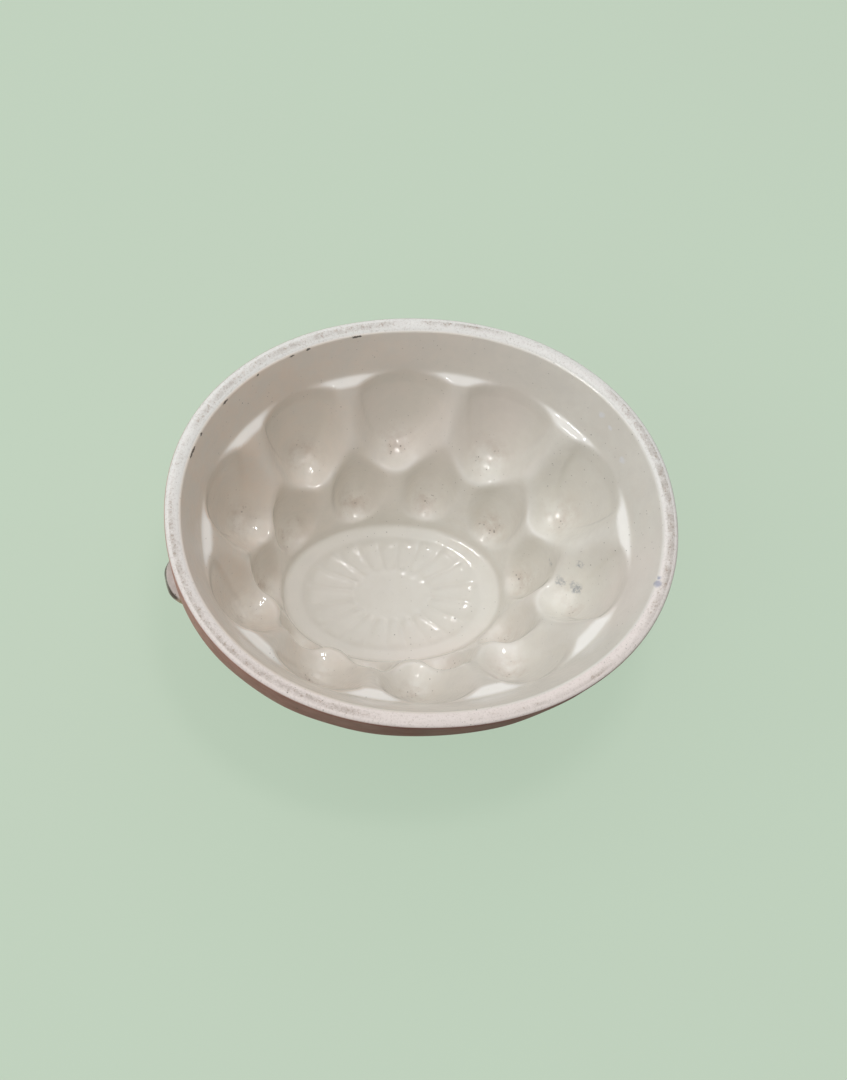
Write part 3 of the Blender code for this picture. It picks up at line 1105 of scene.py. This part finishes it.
def camera():
    """Camera above the rim's middle, at the photograph's angle. Gives its right and up."""
    distance = 0.8
    tilt = math.radians(22.2)
    swing = math.radians(-27.2)
    roll = math.radians(24.0)
    slide = (-0.95 * mm, -9.05 * mm)
    focal_pixels = 2197
    frame_height = 1080
    out = math.sin(tilt)
    back = Vector((math.sin(swing) * out, -math.cos(swing) * out, math.cos(tilt)))
    level_right = Vector((0, 0, 1)).cross(back).normalized()
    level_up = back.cross(level_right)
    right = level_right * math.cos(roll) + level_up * math.sin(roll)
    up = level_up * math.cos(roll) - level_right * math.sin(roll)
    lens = bpy.data.cameras.new("camera")
    lens.sensor_width = 36
    lens.lens = focal_pixels * lens.sensor_width / frame_height
    eye = bpy.data.objects.new("camera", lens)
    place = Vector((0, 0, height)) + back * distance + right * slide[0] + up * slide[1]
    turn = Matrix((right, up, back)).transposed().to_4x4()
    eye.matrix_world = Matrix.Translation(place) @ turn
    bpy.context.scene.collection.objects.link(eye)
    bpy.context.scene.camera = eye
    return right, up


def lamp(name, way, distance, size, power, tint=(1, 1, 1)):
    """Oblong soft lamp that shines back along its way, onto the mould's middle."""
    light = bpy.data.lights.new(name, "AREA")
    light.shape = "RECTANGLE"
    light.size, light.size_y = size
    light.energy = power
    light.color = tint
    item = bpy.data.objects.new(name, light)
    way = way.normalized()
    turn = way.to_track_quat("Z", "Y").to_matrix().to_4x4()
    item.matrix_world = Matrix.Translation(way * distance + Vector((0, 0, height / 2))) @ turn
    bpy.context.scene.collection.objects.link(item)


def floor():
    """Plain pale floor in the background's sage green."""
    side = 3
    mesh = bpy.data.meshes.new("floor")
    corners = [(-side, -side, 0), (side, -side, 0), (side, side, 0), (-side, side, 0)]
    mesh.from_pydata(corners, [], [(0, 1, 2, 3)])
    item = bpy.data.objects.new("floor", mesh)
    item.location.z = ground
    bpy.context.scene.collection.objects.link(item)
    material, tree, shader = new_material("floor")
    shade = between(tree, noise(tree, object_place(tree), 5, 3), 0.35, 0.65, 0.0, 0.25)
    tree.links.new(blend(tree, shade, floor_grey, sage), shader.inputs["Base Color"])
    shader.inputs["Roughness"].default_value = 0.9

    # Seen straight or in a reflection it is mostly an even, pale sage. The light that it throws
    # comes from the grey under that, so that none of it is green.
    plain = add(tree, "ShaderNodeEmission", {"Color": (*sage, 1)})
    rays = add(tree, "ShaderNodeLightPath").outputs
    seen = larger(tree, rays["Is Camera Ray"], rays["Is Glossy Ray"])
    seen = larger(tree, seen, rays["Is Transmission Ray"])
    seen = times(tree, seen, 0.75)
    mixed = add(tree, "ShaderNodeMixShader", {0: seen, 1: shader.outputs[0], 2: plain.outputs[0]})
    tree.links.new(mixed.outputs[0], tree.nodes["Material Output"].inputs["Surface"])
    mesh.materials.append(material)


def sky():
    world = bpy.data.worlds.new("soft room light")
    world.use_nodes = True
    shade = world.node_tree.nodes["Background"]
    shade.inputs["Color"].default_value = (1.0, 0.985, 0.96, 1)
    shade.inputs["Strength"].default_value = 0.13
    bpy.context.scene.world = world


right, up = camera()
top = Vector((0, 0, 1))
far = Vector((up.x, up.y, 0)).normalized()
left = Vector((-right.x, -right.y, 0)).normalized()
lamp_distance = 3.0
window = (1.3, 1.3)
lamp("overcast_sky", top + far * 0.2 + left * 0.4, lamp_distance, (5, 5), 47, (0.98, 1.0, 1.02))
lamp("skylight", top, lamp_distance, (2.2, 2.2), 5)
lamp("side_window", top + left * 1.3, lamp_distance, window, 6.2)
lamp("far_window", top + far * 0.85 - left * 0.2, lamp_distance, window, 5.8, (0.95, 1.0, 1.05))
lamp("near_window", top - far * 0.65 + left * 0.65, lamp_distance, window, 8.8)
lamp("bright_pane", top + far * 0.04 + left * 0.05, 1.6, (0.15, 0.22), 5.5)
floor()
sky()
bpy.context.scene.view_settings.view_transform = "Standard"
